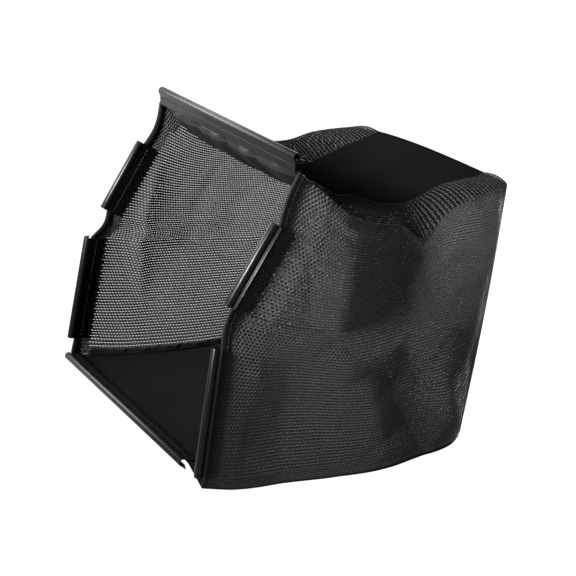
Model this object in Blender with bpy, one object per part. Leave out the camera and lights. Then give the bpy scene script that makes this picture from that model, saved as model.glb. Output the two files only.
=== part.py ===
"""Grass catcher: the soft collecting bag of a walk-behind lawn mower, without its wire frame.

A cloth box stands on its floor panel with its mouth towards -Y. Sides and back are open mesh, the top is
closed woven cloth and the floor is smooth coated cloth. Six plastic hook strips are sewn round the mouth:
each is one extruded section, a flat flange inside the cloth and a springy hook that snaps over a frame wire.

Metres, +Z up. The origin is the middle of the floor panel's underside, and +X is the right side of the bag.
The cloth is standing free, so it has the slack of a bag off its frame: the top sags behind the top clip, the
sides belly out, and soft folds run from the corners.
"""
from math import cos, exp, pi, radians, sin, tan

import bmesh
import bpy
from mathutils import Vector

# Floor and back
BASE_DEPTH = 0.312
RIGHT_BACK_HEIGHT = 0.272
LEFT_BACK_HEIGHT = 0.264
BACK_LEAN = 0.064
BACK_FOOT_WIDTH = 0.380
BACK_TOP_WIDTH = 0.328
FOOT_LIFT = 0.0115
FLOOR_STRIP_SLOPE = 14.0
FLOOR_RUN = 0.060

# Mouth, seen from the side: five straight stretches of the cloth's edge, from the foot up.
# A lean is measured in degrees from upright, towards the back.
FOOT_GAP = 0.018
FOOT_LEAN = 12.0
LOWER_CLIP_LENGTH = 0.1316
LOWER_LEAN = 11.4
KNEE_GAP = 0.0386
KNEE_LEAN = 26.8
UPPER_CLIP_LENGTH = 0.091
UPPER_LEAN = 33.7
TOP_GAP = 0.0552
TOP_LEAN = 23.4

# Mouth, seen from the front: its width at the ends of those stretches
MOUTH_FOOT_WIDTH = 0.392
LOWER_CLIP_FOOT_WIDTH = 0.404
LOWER_CLIP_TOP_WIDTH = 0.386
UPPER_CLIP_FOOT_WIDTH = 0.362
UPPER_CLIP_TOP_WIDTH = 0.364
MOUTH_TOP_WIDTH = 0.362

# Hem: the flat strip of cloth behind the mouth's edge. A flare turns it outwards, in degrees.
HEM = 0.018
LOWER_FLARE = 6.0
UPPER_FLARE = -5.0
TOP_FLARE = -3.0
TOP_HEM_LEAN = 41.0

# Cloth
CLOTH = 0.0012
SEAM_GAP = 0.0005
WEAVE = 0.0004
HOLE_SHARE = 0.52
HOLE_COLUMNS = 8
BACK_HOLE_COLUMNS = 8
BACK_HOLE_ROWS = 7

# Slack of the standing bag
RIGHT_SAG = 0.0465
LEFT_SAG = 0.029
TOP_DISH = 0.010
TOP_DISH_SKEW = 0.5
TOP_DROP_SETBACK = 0.016
TOP_DROP_REACH = 0.30
TOP_EDGE_REACH = 0.10
TOP_FULLNESS_REACH = 0.40
TOP_EDGE_RISE = 0.0075
RIGHT_BAND_WIDTH = 0.046
LEFT_BAND_WIDTH = 0.058
BAND_FRONT_WIDTH = 0.009
BAND_SPREAD = 0.30
BAND_CROWN = 0.003
RIGHT_SEAM_LIFT = 0.017
LEFT_SEAM_LIFT = -0.018
BELLY = 0.012
SHOULDER_BOW = 0.006
BACK_BELLY = 0.014
BACK_CORNER_BOW = 0.003
BACK_TOP_BOW = 0.004
BACK_TOP_CROWN = 0.0045
BACK_CROWN_SKEW = 0.7
RIGHT_FOOT_BOW = 0.025
LEFT_FOOT_BOW = -0.034
RIGHT_FOOT_BOW_SKEW = 1.6
LEFT_FOOT_BOW_SKEW = 1.15
RIGHT_FOOT_SETBACK = 0.004
LEFT_FOOT_SETBACK = -0.004
RIGHT_FOOT_RISE = 0.003
LEFT_FOOT_RISE = -0.002
BOTTOM_CLIP_SETBACK = 0.0125
BOTTOM_CLIP_FADE = 0.100
RIGHT_CREST_DIP = 0.018
LEFT_CREST_DIP = 0.0
CREST_DIP_AT = 0.575
CREST_DIP_SPREAD = 0.07
RIGHT_EDGE_SLACK = -0.003
LEFT_EDGE_SLACK = 0.005
FOLD_HEIGHT = 0.004
FOLD_SPREAD = 0.016
FOLD_END_SHARE = 0.15

# Hook strip section
CHANNEL = 0.0066
CLIP_WALL = 0.0013
LIP_LENGTH = 0.0048
LIP_LEAN = 20.0
LIP_BEND_SHARE = 0.8
LIP_ROOT_ANGLE = 50.0
FLANGE_PINCH_SLOPE = 20.0
FLANGE_START = 0.0008
HOOK_REACH = 0.010
SIDE_CLIP_WIDTH = 0.026
END_CLIP_WIDTH = 0.020
TOP_CLIP_LENGTH = 0.351
BOTTOM_CLIP_LENGTH = 0.332
BOTTOM_CLIP_SHIFT = -0.026

# Edge binding and sewing
TAPE = 0.0006
TAPE_LEG = 0.0075
TAPE_END_GAP = 0.0018
TAPE_BEND = 0.05
CLIP_GAP = 0.0003
STITCH_PITCH = 0.0062
STITCH_WIDTH = 0.0010
STITCH_HEIGHT = 0.0007
STITCH_PINCH = 0.4
STITCH_SHARE = 0.62

NET_COLOUR = (0.022, 0.021, 0.022)
TOP_COLOUR = (0.012, 0.012, 0.013)
FLOOR_COLOUR = (0.021, 0.020, 0.021)
TAPE_COLOUR = (0.018, 0.018, 0.019)
THREAD_COLOUR = (0.10, 0.10, 0.10)
CLIP_COLOUR = (0.055, 0.054, 0.056)

HALF_CLOTH = CLOTH / 2
FRONT_Y = -BASE_DEPTH / 2
BACK_Y = BASE_DEPTH / 2
SIDES = {"right": 1, "left": -1}
BACK_HEIGHT = {1: RIGHT_BACK_HEIGHT, -1: LEFT_BACK_HEIGHT}
BAND_WIDTH = {1: RIGHT_BAND_WIDTH, -1: LEFT_BAND_WIDTH}
SAG = {1: RIGHT_SAG, -1: LEFT_SAG}
FOOT_BOW = {1: RIGHT_FOOT_BOW, -1: LEFT_FOOT_BOW}
FOOT_BOW_SKEW = {1: RIGHT_FOOT_BOW_SKEW, -1: LEFT_FOOT_BOW_SKEW}
EDGE_SLACK = {1: RIGHT_EDGE_SLACK, -1: LEFT_EDGE_SLACK}
FOOT_SETBACK = {1: RIGHT_FOOT_SETBACK, -1: LEFT_FOOT_SETBACK}
FOOT_RISE = {1: RIGHT_FOOT_RISE, -1: LEFT_FOOT_RISE}
CREST_DIP = {1: RIGHT_CREST_DIP, -1: LEFT_CREST_DIP}
SEAM_LIFT = {1: RIGHT_SEAM_LIFT, -1: LEFT_SEAM_LIFT}

# Share of the top's full sag along the bag, from the hem (0) to the back edge (1)
SAG_PROFILE = ((0.0, 0.0), (0.18, 0.70), (0.45, 1.0), (0.62, 0.90), (0.78, 0.38), (1.0, 0.0))

# How far the seam between band and top panel lies above the crest beside it, along the bag, as a share of
# that side's seam lift
SEAM_PROFILE = {
    1: ((0.0, 0.0), (0.12, 0.6), (0.28, 1.0), (0.5, 0.6), (0.8, 0.35), (1.0, 0.0)),
    -1: ((0.0, 0.0), (0.25, 0.55), (0.5, 1.0), (0.75, 0.8), (1.0, 0.0)),
}

# Holes in each stretch of the side panel's height, from the foot up, and last in the band over the top edge
HOLE_ROWS = (1, 5, 1, 4, 2, 1)
BAND = 5

# Stretches of the mouth's edge that carry a hook strip
CLIP_STRETCHES = {1: "lower", 3: "upper"}

# Soft folds of the sides: start and end as (share of depth, share of height), and share of FOLD_HEIGHT
FOLDS = (
    ((0.00, 0.96), (0.36, 0.90), 1.0),
    ((0.04, 0.86), (0.30, 0.74), 0.6),
    ((0.97, 0.95), (0.60, 0.72), 1.3),
    ((0.34, 0.88), (0.33, 0.50), 0.9),
    ((0.00, 0.47), (0.24, 0.42), -1.0),
    ((0.28, 0.46), (0.56, 0.45), 0.9),
    ((0.98, 0.04), (0.76, 0.30), 1.1),
    ((0.08, 0.30), (0.30, 0.12), 0.6),
)


def clear_scene():
    for thing in list(bpy.data.objects):
        bpy.data.objects.remove(thing, do_unlink=True)


def mix(a, b, share):
    return a + (b - a) * share


def smooth(share):
    share = min(max(share, 0.0), 1.0)
    return share * share * (3 - 2 * share)


def along(stations, place):
    """Smooth curve through (place, value) stations."""
    last = len(stations) - 1
    k = 0
    while k < last - 1 and place > stations[k + 1][0]:
        k += 1
    slopes = []
    for i in (k, k + 1):
        before = stations[max(i - 1, 0)]
        after = stations[min(i + 1, last)]
        slopes.append((after[1] - before[1]) / (after[0] - before[0]))
    (x0, y0), (x1, y1) = stations[k], stations[k + 1]
    width = x1 - x0
    t = (place - x0) / width
    start = (1 + 2 * t) * (1 - t) ** 2 * y0 + t * (1 - t) ** 2 * width * slopes[0]
    return start + t * t * (3 - 2 * t) * y1 + t * t * (t - 1) * width * slopes[1]


def mouth_stations(side):
    """Corners of a side panel's mouth edge from the foot up, each with the direction of its hem."""
    point = Vector((side * MOUTH_FOOT_WIDTH / 2, FRONT_Y, FOOT_LIFT))
    points = [point]
    stretches = (
        (FOOT_GAP, FOOT_LEAN, LOWER_CLIP_FOOT_WIDTH),
        (LOWER_CLIP_LENGTH, LOWER_LEAN, LOWER_CLIP_TOP_WIDTH),
        (KNEE_GAP, KNEE_LEAN, UPPER_CLIP_FOOT_WIDTH),
        (UPPER_CLIP_LENGTH, UPPER_LEAN, UPPER_CLIP_TOP_WIDTH),
        (TOP_GAP, TOP_LEAN, MOUTH_TOP_WIDTH),
    )
    for length, lean, width in stretches:
        angle = radians(lean)
        point = Vector((side * width / 2, point.y + length * sin(angle), point.z + length * cos(angle)))
        points.append(point)
    turns = [(LOWER_LEAN, LOWER_FLARE)] * 3 + [(UPPER_LEAN, UPPER_FLARE)] * 2 + [(TOP_HEM_LEAN, TOP_FLARE)]
    stations = []
    for point, (lean, flare) in zip(points, turns):
        slope, turn = radians(lean), radians(flare)
        hem = Vector((side * sin(turn), cos(turn) * cos(slope), -cos(turn) * sin(slope)))
        stations.append((point, hem))
    slack = Vector((0, FOOT_SETBACK[side], FOOT_RISE[side]))
    return [(stations[0][0] + slack, stations[0][1])] + stations[1:]


MOUTH = {side: mouth_stations(side) for side in SIDES.values()}
TOP_CORNER = MOUTH[1][-1][0]


def mouth_edge(side, v):
    """Point on the mouth's edge and its hem direction, v stretches up from the foot. The edge is slack above
    each hook strip: it hangs in on the left and out on the right."""
    k = min(int(v), BAND - 1)
    (start, start_hem), (end, end_hem) = MOUTH[side][k], MOUTH[side][k + 1]
    share = min(v, float(BAND)) - k
    hem = start_hem.lerp(end_hem, share)
    slack = EDGE_SLACK[side] * sin(pi * share) if k - 1 in CLIP_STRETCHES else 0.0
    return start.lerp(end, share) + hem * slack, hem


def height_share(v):
    """Height of the mouth's edge at v, as a share of the whole mouth."""
    return (mouth_edge(1, v)[0].z - FOOT_LIFT) / (TOP_CORNER.z - FOOT_LIFT)


def back_corner(side, f):
    """Point on the upright seam between side and back, f of the way up."""
    half = mix(BACK_FOOT_WIDTH, BACK_TOP_WIDTH, f) / 2
    y = BACK_Y + BACK_LEAN * f + BACK_CORNER_BOW * sin(pi * f)
    return Vector((side * half, y, mix(SEAM_GAP, BACK_HEIGHT[side], f)))


def fold_height(u, f):
    """How far the folds lift the cloth at share u of the depth and f of the height."""
    lift = 0.0
    for (u0, f0), (u1, f1), share in FOLDS:
        run = Vector(((u1 - u0) * BASE_DEPTH, (f1 - f0) * RIGHT_BACK_HEIGHT))
        here = Vector(((u - u0) * BASE_DEPTH, (f - f0) * RIGHT_BACK_HEIGHT))
        t = min(max(here.dot(run) / run.length_squared, 0.0), 1.0)
        away = (here - run * t).length / FOLD_SPREAD
        lift += share * FOLD_HEIGHT * exp(-away * away) * sin(pi * mix(FOLD_END_SHARE, 1 - FOLD_END_SHARE, t))
    return lift


def side_cloth(side, v, u, dipped=True):
    """Middle of a side panel's cloth below the crest: u runs from -1 at the mouth's edge, over the hem's
    inner line at 0, to 1 at the back."""
    edge, hem = mouth_edge(side, v)
    if u <= 0:
        return edge + hem * HEM * (1 + u)
    f = height_share(v)
    start = edge + hem * HEM
    point = start.lerp(back_corner(side, f), u)
    arch = sin(pi * u)
    foot_rise = (mouth_edge(side, 0)[0] + mouth_edge(side, 0)[1] * HEM).z - SEAM_GAP
    run = max(0.0, 1 - u * BASE_DEPTH / FLOOR_RUN)
    point.z -= foot_rise * ((1 - u) - run * run) * (1 - f) ** 3
    point.z -= SAG[side] * along(SAG_PROFILE, u) * f * f
    if dipped:
        away = (u - CREST_DIP_AT) / CREST_DIP_SPREAD
        point.z -= CREST_DIP[side] * exp(-away * away) * f ** 8
    bow = FOOT_BOW[side] * (1 - f) ** 2 * sin(pi * u ** FOOT_BOW_SKEW[side])
    bow += (BELLY * 4 * f * (1 - f) + SHOULDER_BOW * f * f) * arch
    point.x += side * (bow + fold_height(u, f) * min(1.0, 4 * u, 4 * (1 - u)))
    return point


def back_bow(x, u):
    """How far the top's back edge lies behind and above the straight line between its corners."""
    a = 2 * x / BACK_TOP_WIDTH
    share = (1 - a * a) * max(0.0, u) ** 3
    return Vector((0, BACK_TOP_BOW, BACK_TOP_CROWN * (1 - BACK_CROWN_SKEW * a))) * share


def band_width(side, u):
    return mix(BAND_FRONT_WIDTH, BAND_WIDTH[side], smooth(u / BAND_SPREAD))


def top_seam(side, u):
    """Where a side panel's band ends over the top edge, and the top panel begins."""
    crest = side_cloth(side, BAND, u, dipped=False)
    width = band_width(side, u)
    tilt = (BACK_HEIGHT[-side] - BACK_HEIGHT[side]) * width / BACK_TOP_WIDTH * max(0.0, u) ** 3
    lift = SEAM_LIFT[side] * along(SEAM_PROFILE[side], max(0.0, u))
    return crest + Vector((-side * width, 0, lift + tilt))


def side_panel_point(side, v, u):
    if v <= BAND:
        return side_cloth(side, v, u)
    share = v - BAND
    point = side_cloth(side, BAND, u).lerp(top_seam(side, u), share)
    point += back_bow(point.x, u)
    point.z += BAND_CROWN * sin(pi * share) * smooth(u / BAND_SPREAD)
    return point


def top_panel_point(a, u):
    """Middle of the top panel's cloth: a from -1 at the left seam to 1 at the right, u as on the sides."""
    inset = Vector((SEAM_GAP, 0, 0))
    left = top_seam(-1, u) + inset
    right = top_seam(1, u) - inset
    middle = (left + right) / 2
    if u <= 0:
        depth = HEM * (1 + u)
        target = Vector((0, TOP_CORNER.y, TOP_CORNER.z + TOP_EDGE_RISE - depth))
    else:
        drop = max(0.0, 1 - u / TOP_DROP_REACH)
        dish = TOP_DISH * sin(pi * u ** TOP_DISH_SKEW)
        target = Vector((0, middle.y - TOP_DROP_SETBACK * drop * drop, middle.z - dish))
        front = Vector((0, TOP_CORNER.y, TOP_CORNER.z + TOP_EDGE_RISE - HEM))
        target = front.lerp(target, smooth(u / TOP_EDGE_REACH))
    fullness = 1 - abs(a) ** mix(10, 2, smooth(u / TOP_FULLNESS_REACH))
    point = left.lerp(right, (a + 1) / 2) + (target - middle) * fullness
    return point + back_bow(point.x, u)


def floor_edge(x):
    """The floor panel's front edge at x: the bottom clip holds it straight, pulled in at its right end."""
    left, right = MOUTH[-1][0][0], MOUTH[1][0][0]
    held = Vector((BOTTOM_CLIP_SHIFT + BOTTOM_CLIP_LENGTH / 2, FRONT_Y + BOTTOM_CLIP_SETBACK, right.z))
    if x < held.x:
        return left.lerp(held, (x - left.x) / (held.x - left.x))
    return held.lerp(right, (x - held.x) / (right.x - held.x))


def floor_point(a, u):
    """Middle of the floor panel: a across from -1 to 1, u from the mouth's edge to the back."""
    left, right = side_cloth(-1, 0, u), side_cloth(1, 0, u)
    inset = HALF_CLOTH + SEAM_GAP
    x = mix(left.x + inset, right.x - inset, (a + 1) / 2)
    y = min(mix(left.y, right.y, (a + 1) / 2), BACK_Y - inset)
    edge = floor_edge(x)
    plain_edge = mix(MOUTH[-1][0][0].y, MOUTH[1][0][0].y, (a + 1) / 2)
    into = y - plain_edge
    fade = 1 - smooth((into - HEM) / BOTTOM_CLIP_FADE)
    strip_drop = tan(radians(FLOOR_STRIP_SLOPE))
    run = min(1.0, max(0.0, 1 - (into - HEM) / FLOOR_RUN))
    z = HALF_CLOTH + (edge.z - min(into, HEM) * strip_drop - HALF_CLOTH) * run * run
    return Vector((x, y + (edge.y - plain_edge) * fade, z))


def back_panel_point(a, f):
    """Middle of the back panel: a across from -1 to 1, f up from the floor."""
    inset = HALF_CLOTH + SEAM_GAP
    left, right = back_corner(-1, f), back_corner(1, f)
    x = a * (right.x - inset)
    y = right.y + (1 - a * a) * BACK_BELLY * sin(pi * f)
    z = mix(left.z, right.z, (a + 1) / 2) - inset * f
    return Vector((x, y, z)) + back_bow(x, f)


def new_object(name, bm, colour, roughness):
    """Object from a finished bmesh, which it frees, with a material of its own."""
    mesh = bpy.data.meshes.new(name)
    bm.to_mesh(mesh)
    bm.free()
    thing = bpy.data.objects.new(name, mesh)
    bpy.context.scene.collection.objects.link(thing)
    material = bpy.data.materials.new(name)
    material.use_nodes = True
    shader = material.node_tree.nodes["Principled BSDF"]
    shader.inputs["Base Color"].default_value = (*colour, 1)
    shader.inputs["Roughness"].default_value = roughness
    shader.inputs["Metallic"].default_value = 0
    mesh.materials.append(material)
    return thing


def split_alike(bm):
    """Splits every face along its short diagonal, so that twisted cloth and its cover keep one shape."""
    bmesh.ops.triangulate(bm, faces=bm.faces[:], quad_method="SHORT_EDGE")


def cloth_wall(name, columns, rows, place, outward, colour, roughness, holes=()):
    """One cloth panel: a grid of columns and rows laid in place, less its hole cells, given its thickness."""
    bm = bmesh.new()
    wide = len(columns)
    bmesh.ops.create_grid(bm, x_segments=wide - 1, y_segments=len(rows) - 1, size=1)
    for vert in bm.verts:
        vert.co = place(vert.index % wide, vert.index // wide)
    gone = [face for face in bm.faces
            if divmod(min(vert.index for vert in face.verts), wide)[::-1] in holes]
    bmesh.ops.delete(bm, geom=gone, context="FACES")
    bm.normal_update()
    facing = sum((face.normal * face.calc_area() for face in bm.faces), Vector())
    if facing.dot(outward) < 0:
        bmesh.ops.reverse_faces(bm, faces=bm.faces[:])
    split_alike(bm)
    thing = new_object(name, bm, colour, roughness)
    wall = thing.modifiers.new("wall", "SOLIDIFY")
    wall.thickness = CLOTH
    wall.offset = 0
    wall.use_even_offset = False
    thing.data.shade_smooth()
    return thing


def hole_lines(count):
    """Places from 0 to 1 of the two edges of each hole in a stretch."""
    lines = []
    for i in range(count):
        lines += [(i + (1 - HOLE_SHARE) / 2) / count, (i + (1 + HOLE_SHARE) / 2) / count]
    return lines


def depth_lines():
    """Lines along the bag that sides, top and floor share, so that their seams meet corner to corner."""
    return [-1.0, 0.0] + hole_lines(HOLE_COLUMNS) + [1.0]


def woven(point, normal, column, row):
    """Moves a net's knot to the face or the back, turn about, so that the strands pass over and under."""
    return point + normal * (WEAVE if (column + row) % 2 else -WEAVE)


def stretch_lines(stretch):
    """Lines across the side panel in one stretch of its height, without the stretch's far end."""
    return [float(stretch)] + [stretch + place for place in hole_lines(HOLE_ROWS[stretch])]


def build_side_panel(name, side):
    rows = []
    row_holes = set()
    for stretch, count in enumerate(HOLE_ROWS):
        row_holes |= {len(rows) + 1 + 2 * k for k in range(count)}
        rows += stretch_lines(stretch)
    rows.append(float(len(HOLE_ROWS)))
    columns = [-1.0, TAPE_LEG / HEM - 1] + depth_lines()[1:]
    column_holes = {3 + 2 * k for k in range(HOLE_COLUMNS)}
    outward = Vector((side, 0, 0))

    def place(i, j):
        point = side_panel_point(side, rows[j], columns[i])
        if 2 < i < len(columns) - 1 and 0 < j < len(rows) - 1 and rows[j] < BAND:
            point = woven(point, outward, i // 2, j // 2)
        return point

    holes = {(i, j) for i in column_holes for j in row_holes}
    return cloth_wall(name, columns, rows, place, outward, NET_COLOUR, 0.8, holes)


def build_back_panel():
    columns = [-1.0] + [2 * place - 1 for place in hole_lines(BACK_HOLE_COLUMNS)] + [1.0]
    rows = [0.0] + hole_lines(BACK_HOLE_ROWS) + [1.0]
    outward = Vector((0, 1, 0))

    def place(i, j):
        point = back_panel_point(columns[i], rows[j])
        if 0 < i < len(columns) - 1 and 0 < j < len(rows) - 1:
            point = woven(point, outward, (i + 1) // 2, (j + 1) // 2)
        return point

    holes = {(1 + 2 * i, 1 + 2 * j) for i in range(BACK_HOLE_COLUMNS) for j in range(BACK_HOLE_ROWS)}
    return cloth_wall("back_panel", columns, rows, place, outward, NET_COLOUR, 0.8, holes)


def build_top_panel():
    across = 12
    columns = [2 * i / across - 1 for i in range(across + 1)]
    rows = depth_lines()

    def place(i, j):
        return top_panel_point(columns[i], rows[j])

    return cloth_wall("top_panel", columns, rows, place, Vector((0, 0, 1)), TOP_COLOUR, 0.75)


def build_bottom_panel():
    across = 8
    columns = [2 * i / across - 1 for i in range(across + 1)]
    rows = depth_lines()

    def place(i, j):
        return floor_point(columns[i], rows[j])

    return cloth_wall("bottom_panel", columns, rows, place, Vector((0, 0, -1)), FLOOR_COLOUR, 0.5)


def clip_section(width, cover):
    """Both faces of a hook strip's wall, from the lip's tip to the flange's end, as points (into the cloth
    from its edge, outwards from its middle). The flange lies over a cover on the cloth's inner face."""
    radius = (CHANNEL + CLIP_WALL) / 2
    flange_level = -(HALF_CLOTH + cover + CLIP_GAP + CLIP_WALL / 2)
    leave = radians(270 + FLANGE_PINCH_SLOPE)
    pinch_run = -HOOK_REACH + radius + CLIP_WALL / 2 + radius * cos(leave)
    pinch = (FLANGE_START, flange_level)
    centre_out = flange_level - radius * sin(leave) - (pinch[0] - pinch_run) * sin(leave - 1.5 * pi)
    centre = (-HOOK_REACH + radius + CLIP_WALL / 2, centre_out)
    steps = 14
    first = radians(LIP_ROOT_ANGLE)
    spine = []
    for k in range(steps + 1):
        angle = mix(first, leave, k / steps)
        spine.append((centre[0] + radius * cos(angle), centre[1] + radius * sin(angle)))
    lip_turn = radians(LIP_LEAN)
    root = spine[0]
    tip = (root[0] + LIP_LENGTH * sin(lip_turn), root[1] + LIP_LENGTH * cos(lip_turn))
    spine = [tip, mix_pair(tip, root, LIP_BEND_SHARE)] + spine + [pinch, (width - HOOK_REACH, flange_level)]
    outer, inner = [], []
    for k, here in enumerate(spine):
        before = spine[max(k - 1, 0)]
        after = spine[min(k + 1, len(spine) - 1)]
        step = Vector((after[0] - before[0], after[1] - before[1])).normalized()
        aside = Vector((-step.y, step.x)) * CLIP_WALL / 2
        outer.append((here[0] + aside.x, here[1] + aside.y))
        inner.append((here[0] - aside.x, here[1] - aside.y))
    return outer, inner


def mix_pair(a, b, share):
    return (mix(a[0], b[0], share), mix(a[1], b[1], share))


def clip_frame(start, end, into, outward):
    """Axis, direction into the cloth and outward normal of a clip whose cloth edge runs from start to end."""
    axis = (end - start).normalized()
    into = (into - axis * into.dot(axis)).normalized()
    normal = axis.cross(into)
    if normal.dot(outward) < 0:
        normal = -normal
    return axis, into, normal


def build_clip(name, start, end, into, outward, width, cover):
    """A straight hook strip along the cloth's edge from start to end, and the stitches that hold it."""
    axis, into, normal = clip_frame(start, end, into, outward)
    bm = bmesh.new()
    outer, inner = [[bm.verts.new(start + into * s + normal * t) for s, t in face]
                    for face in clip_section(width, cover)]
    section = [bm.faces.new((outer[k], outer[k + 1], inner[k + 1], inner[k])) for k in range(len(outer) - 1)]
    grown = bmesh.ops.extrude_face_region(bm, geom=section)["geom"]
    far_end = [item for item in grown if isinstance(item, bmesh.types.BMVert)]
    bmesh.ops.translate(bm, vec=end - start, verts=far_end)
    bmesh.ops.recalc_face_normals(bm, faces=bm.faces[:])
    thing = new_object(name, bm, CLIP_COLOUR, 0.38)
    thing.data.shade_smooth()
    thing.data.set_sharp_from_angle(angle=radians(40))
    build_sewing(name.replace("_clip", "_clip_sewing"), start, end, axis, into, normal, width, cover)
    return thing


def skin_rings(bm, rings, caps):
    """Closes a row of rings of points into one skin. Caps are an end's faces, as places round its ring."""
    loops = [[bm.verts.new(point) for point in ring] for ring in rings]
    count = len(rings[0])
    for here, there in zip(loops, loops[1:]):
        for i in range(count):
            after = (i + 1) % count
            bm.faces.new((here[i], here[after], there[after], there[i]))
    for loop in (loops[0], loops[-1]):
        for cap in caps:
            bm.faces.new([loop[i] for i in cap])
    bmesh.ops.recalc_face_normals(bm, faces=bm.faces[:])
    split_alike(bm)


def build_sewing(name, start, end, axis, into, normal, width, cover):
    """The thread along the inner face of a clip's flange: it swells at each stitch, pinched between them."""
    length = (end - start).length
    count = int(length / STITCH_PITCH)
    margin = (length - STITCH_PITCH * (count - 1)) / 2
    level = -(HALF_CLOTH + cover + 2 * CLIP_GAP + CLIP_WALL)
    row = width * STITCH_SHARE - HOOK_REACH
    rings = []
    for k in range(2 * count - 1):
        full = 1.0 if k % 2 == 0 else STITCH_PINCH
        middle = start + axis * (margin + STITCH_PITCH * k / 2) + into * row + normal * level
        aside = into * STITCH_WIDTH / 2 * full
        rings.append((middle - aside, middle + aside, middle - normal * STITCH_HEIGHT * full))
    bm = bmesh.new()
    skin_rings(bm, rings, ((0, 1, 2),))
    return new_object(name, bm, THREAD_COLOUR, 0.7)


def build_clips():
    for word, side in SIDES.items():
        stations = MOUTH[side]
        outward = Vector((side, 0, 0))
        for k, level in CLIP_STRETCHES.items():
            build_clip(f"{level}_{word}_clip", stations[k][0], stations[k + 1][0], stations[k][1], outward,
                       SIDE_CLIP_WIDTH, TAPE + CLIP_GAP)
    half = TOP_CLIP_LENGTH / 2
    edge = Vector((0, TOP_CORNER.y, TOP_CORNER.z + TOP_EDGE_RISE))
    build_clip("top_clip", edge - Vector((half, 0, 0)), edge + Vector((half, 0, 0)), Vector((0, 0, -1)),
               Vector((0, 1, 0)), END_CLIP_WIDTH, 0)
    half = BOTTOM_CLIP_LENGTH / 2
    slope = radians(FLOOR_STRIP_SLOPE)
    build_clip("bottom_clip", floor_edge(BOTTOM_CLIP_SHIFT - half), floor_edge(BOTTOM_CLIP_SHIFT + half),
               Vector((0, cos(slope), -sin(slope))), Vector((0, 0, -1)), END_CLIP_WIDTH, 0)


def build_binding(name, side):
    """Tape folded over the mouth's edge of a side panel, from foot to top corner."""
    near = HALF_CLOTH + CLIP_GAP
    out = near + TAPE
    front = -CLIP_GAP
    outline = ((TAPE_LEG, near), (TAPE_LEG, out), (front - TAPE, out), (front - TAPE, -out), (TAPE_LEG, -out),
               (TAPE_LEG, -near), (front, -near), (front, near))
    foot, top = TAPE_END_GAP / FOOT_GAP, BAND - TAPE_END_GAP / TOP_GAP
    places = [foot]
    for stretch in range(BAND):
        places += [float(stretch)] if stretch in CLIP_STRETCHES else stretch_lines(stretch)
    places = [place for place in places if foot <= place < top] + [top]
    rings = []
    for place in places:
        point, hem = mouth_edge(side, place)
        before = mouth_edge(side, max(place - TAPE_BEND, 0.0))[0]
        after = mouth_edge(side, min(place + TAPE_BEND, float(BAND)))[0]
        normal = (after - before).cross(hem).normalized()
        if normal.x * side < 0:
            normal = -normal
        rings.append([point + hem * s + normal * t for s, t in outline])
    bm = bmesh.new()
    skin_rings(bm, rings, ((0, 1, 2, 7), (7, 2, 3, 6), (6, 3, 4, 5)))
    return new_object(name, bm, TAPE_COLOUR, 0.7)


def main():
    clear_scene()
    for word, side in SIDES.items():
        build_side_panel(f"{word}_side_panel", side)
        build_binding(f"{word}_edge_binding", side)
    build_back_panel()
    build_top_panel()
    build_bottom_panel()
    build_clips()


main()
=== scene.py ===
"""Looks of the grass catcher: its net, cloth, tape, hook strips and sewing, and the studio round them.

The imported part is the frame. Each panel is laid on the surface of its own solid, worked out from the same
values, and stands for it. Metres, +Z up, mouth towards -Y, and +X is the right side of the bag.
"""

from math import ceil, cos, pi, radians, sin, tan

import bmesh
import bpy
import numpy as np
from mathutils import Matrix, Vector


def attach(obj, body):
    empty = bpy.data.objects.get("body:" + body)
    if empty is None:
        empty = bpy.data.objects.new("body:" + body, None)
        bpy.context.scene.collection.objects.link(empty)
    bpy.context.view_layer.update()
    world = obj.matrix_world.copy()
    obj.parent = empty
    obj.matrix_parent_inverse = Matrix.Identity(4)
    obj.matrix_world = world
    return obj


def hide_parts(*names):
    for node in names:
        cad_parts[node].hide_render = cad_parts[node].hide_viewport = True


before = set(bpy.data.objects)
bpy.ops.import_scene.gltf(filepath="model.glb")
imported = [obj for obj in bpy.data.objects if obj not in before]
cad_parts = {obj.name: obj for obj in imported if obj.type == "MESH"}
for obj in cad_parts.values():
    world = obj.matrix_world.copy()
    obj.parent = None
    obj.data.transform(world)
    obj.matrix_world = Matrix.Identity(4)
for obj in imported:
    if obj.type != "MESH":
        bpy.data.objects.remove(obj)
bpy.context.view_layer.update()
bpy.ops.object.select_all(action="DESELECT")

# Floor and back
BASE_DEPTH = 0.312
RIGHT_BACK_HEIGHT = 0.272
BACK_HEIGHT = {1: RIGHT_BACK_HEIGHT, -1: 0.264}
BACK_LEAN = 0.064
BACK_FOOT_WIDTH = 0.380
BACK_TOP_WIDTH = 0.328
FOOT_LIFT = 0.0115
FLOOR_STRIP_SLOPE = 14.0
FLOOR_RUN = 0.060

# Mouth: five straight stretches of the cloth's edge, from the foot up. Each is its length, its lean in degrees
# from upright, towards the back, and the mouth's width at its upper end.
LOWER_LEAN = 11.4
UPPER_LEAN = 33.7
MOUTH_FOOT_WIDTH = 0.392
MOUTH_TOP_WIDTH = 0.362
STRETCHES = (
    (0.018, 12.0, 0.404),
    (0.1316, LOWER_LEAN, 0.386),
    (0.0386, 26.8, 0.362),
    (0.091, UPPER_LEAN, 0.364),
    (0.0552, 23.4, MOUTH_TOP_WIDTH),
)
EDGE_LENGTHS = np.cumsum([0.0] + [length for length, lean, width in STRETCHES])

# Hem: the flat strip of cloth behind the mouth's edge, and at each corner of that edge the strip's lean and how
# far it flares outwards, in degrees
HEM = 0.018
HEM_TURNS = ((LOWER_LEAN, 6.0),) * 3 + ((UPPER_LEAN, -5.0),) * 2 + ((41.0, -3.0),)

# Cloth
CLOTH = 0.0012
SEAM_GAP = 0.0005

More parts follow.
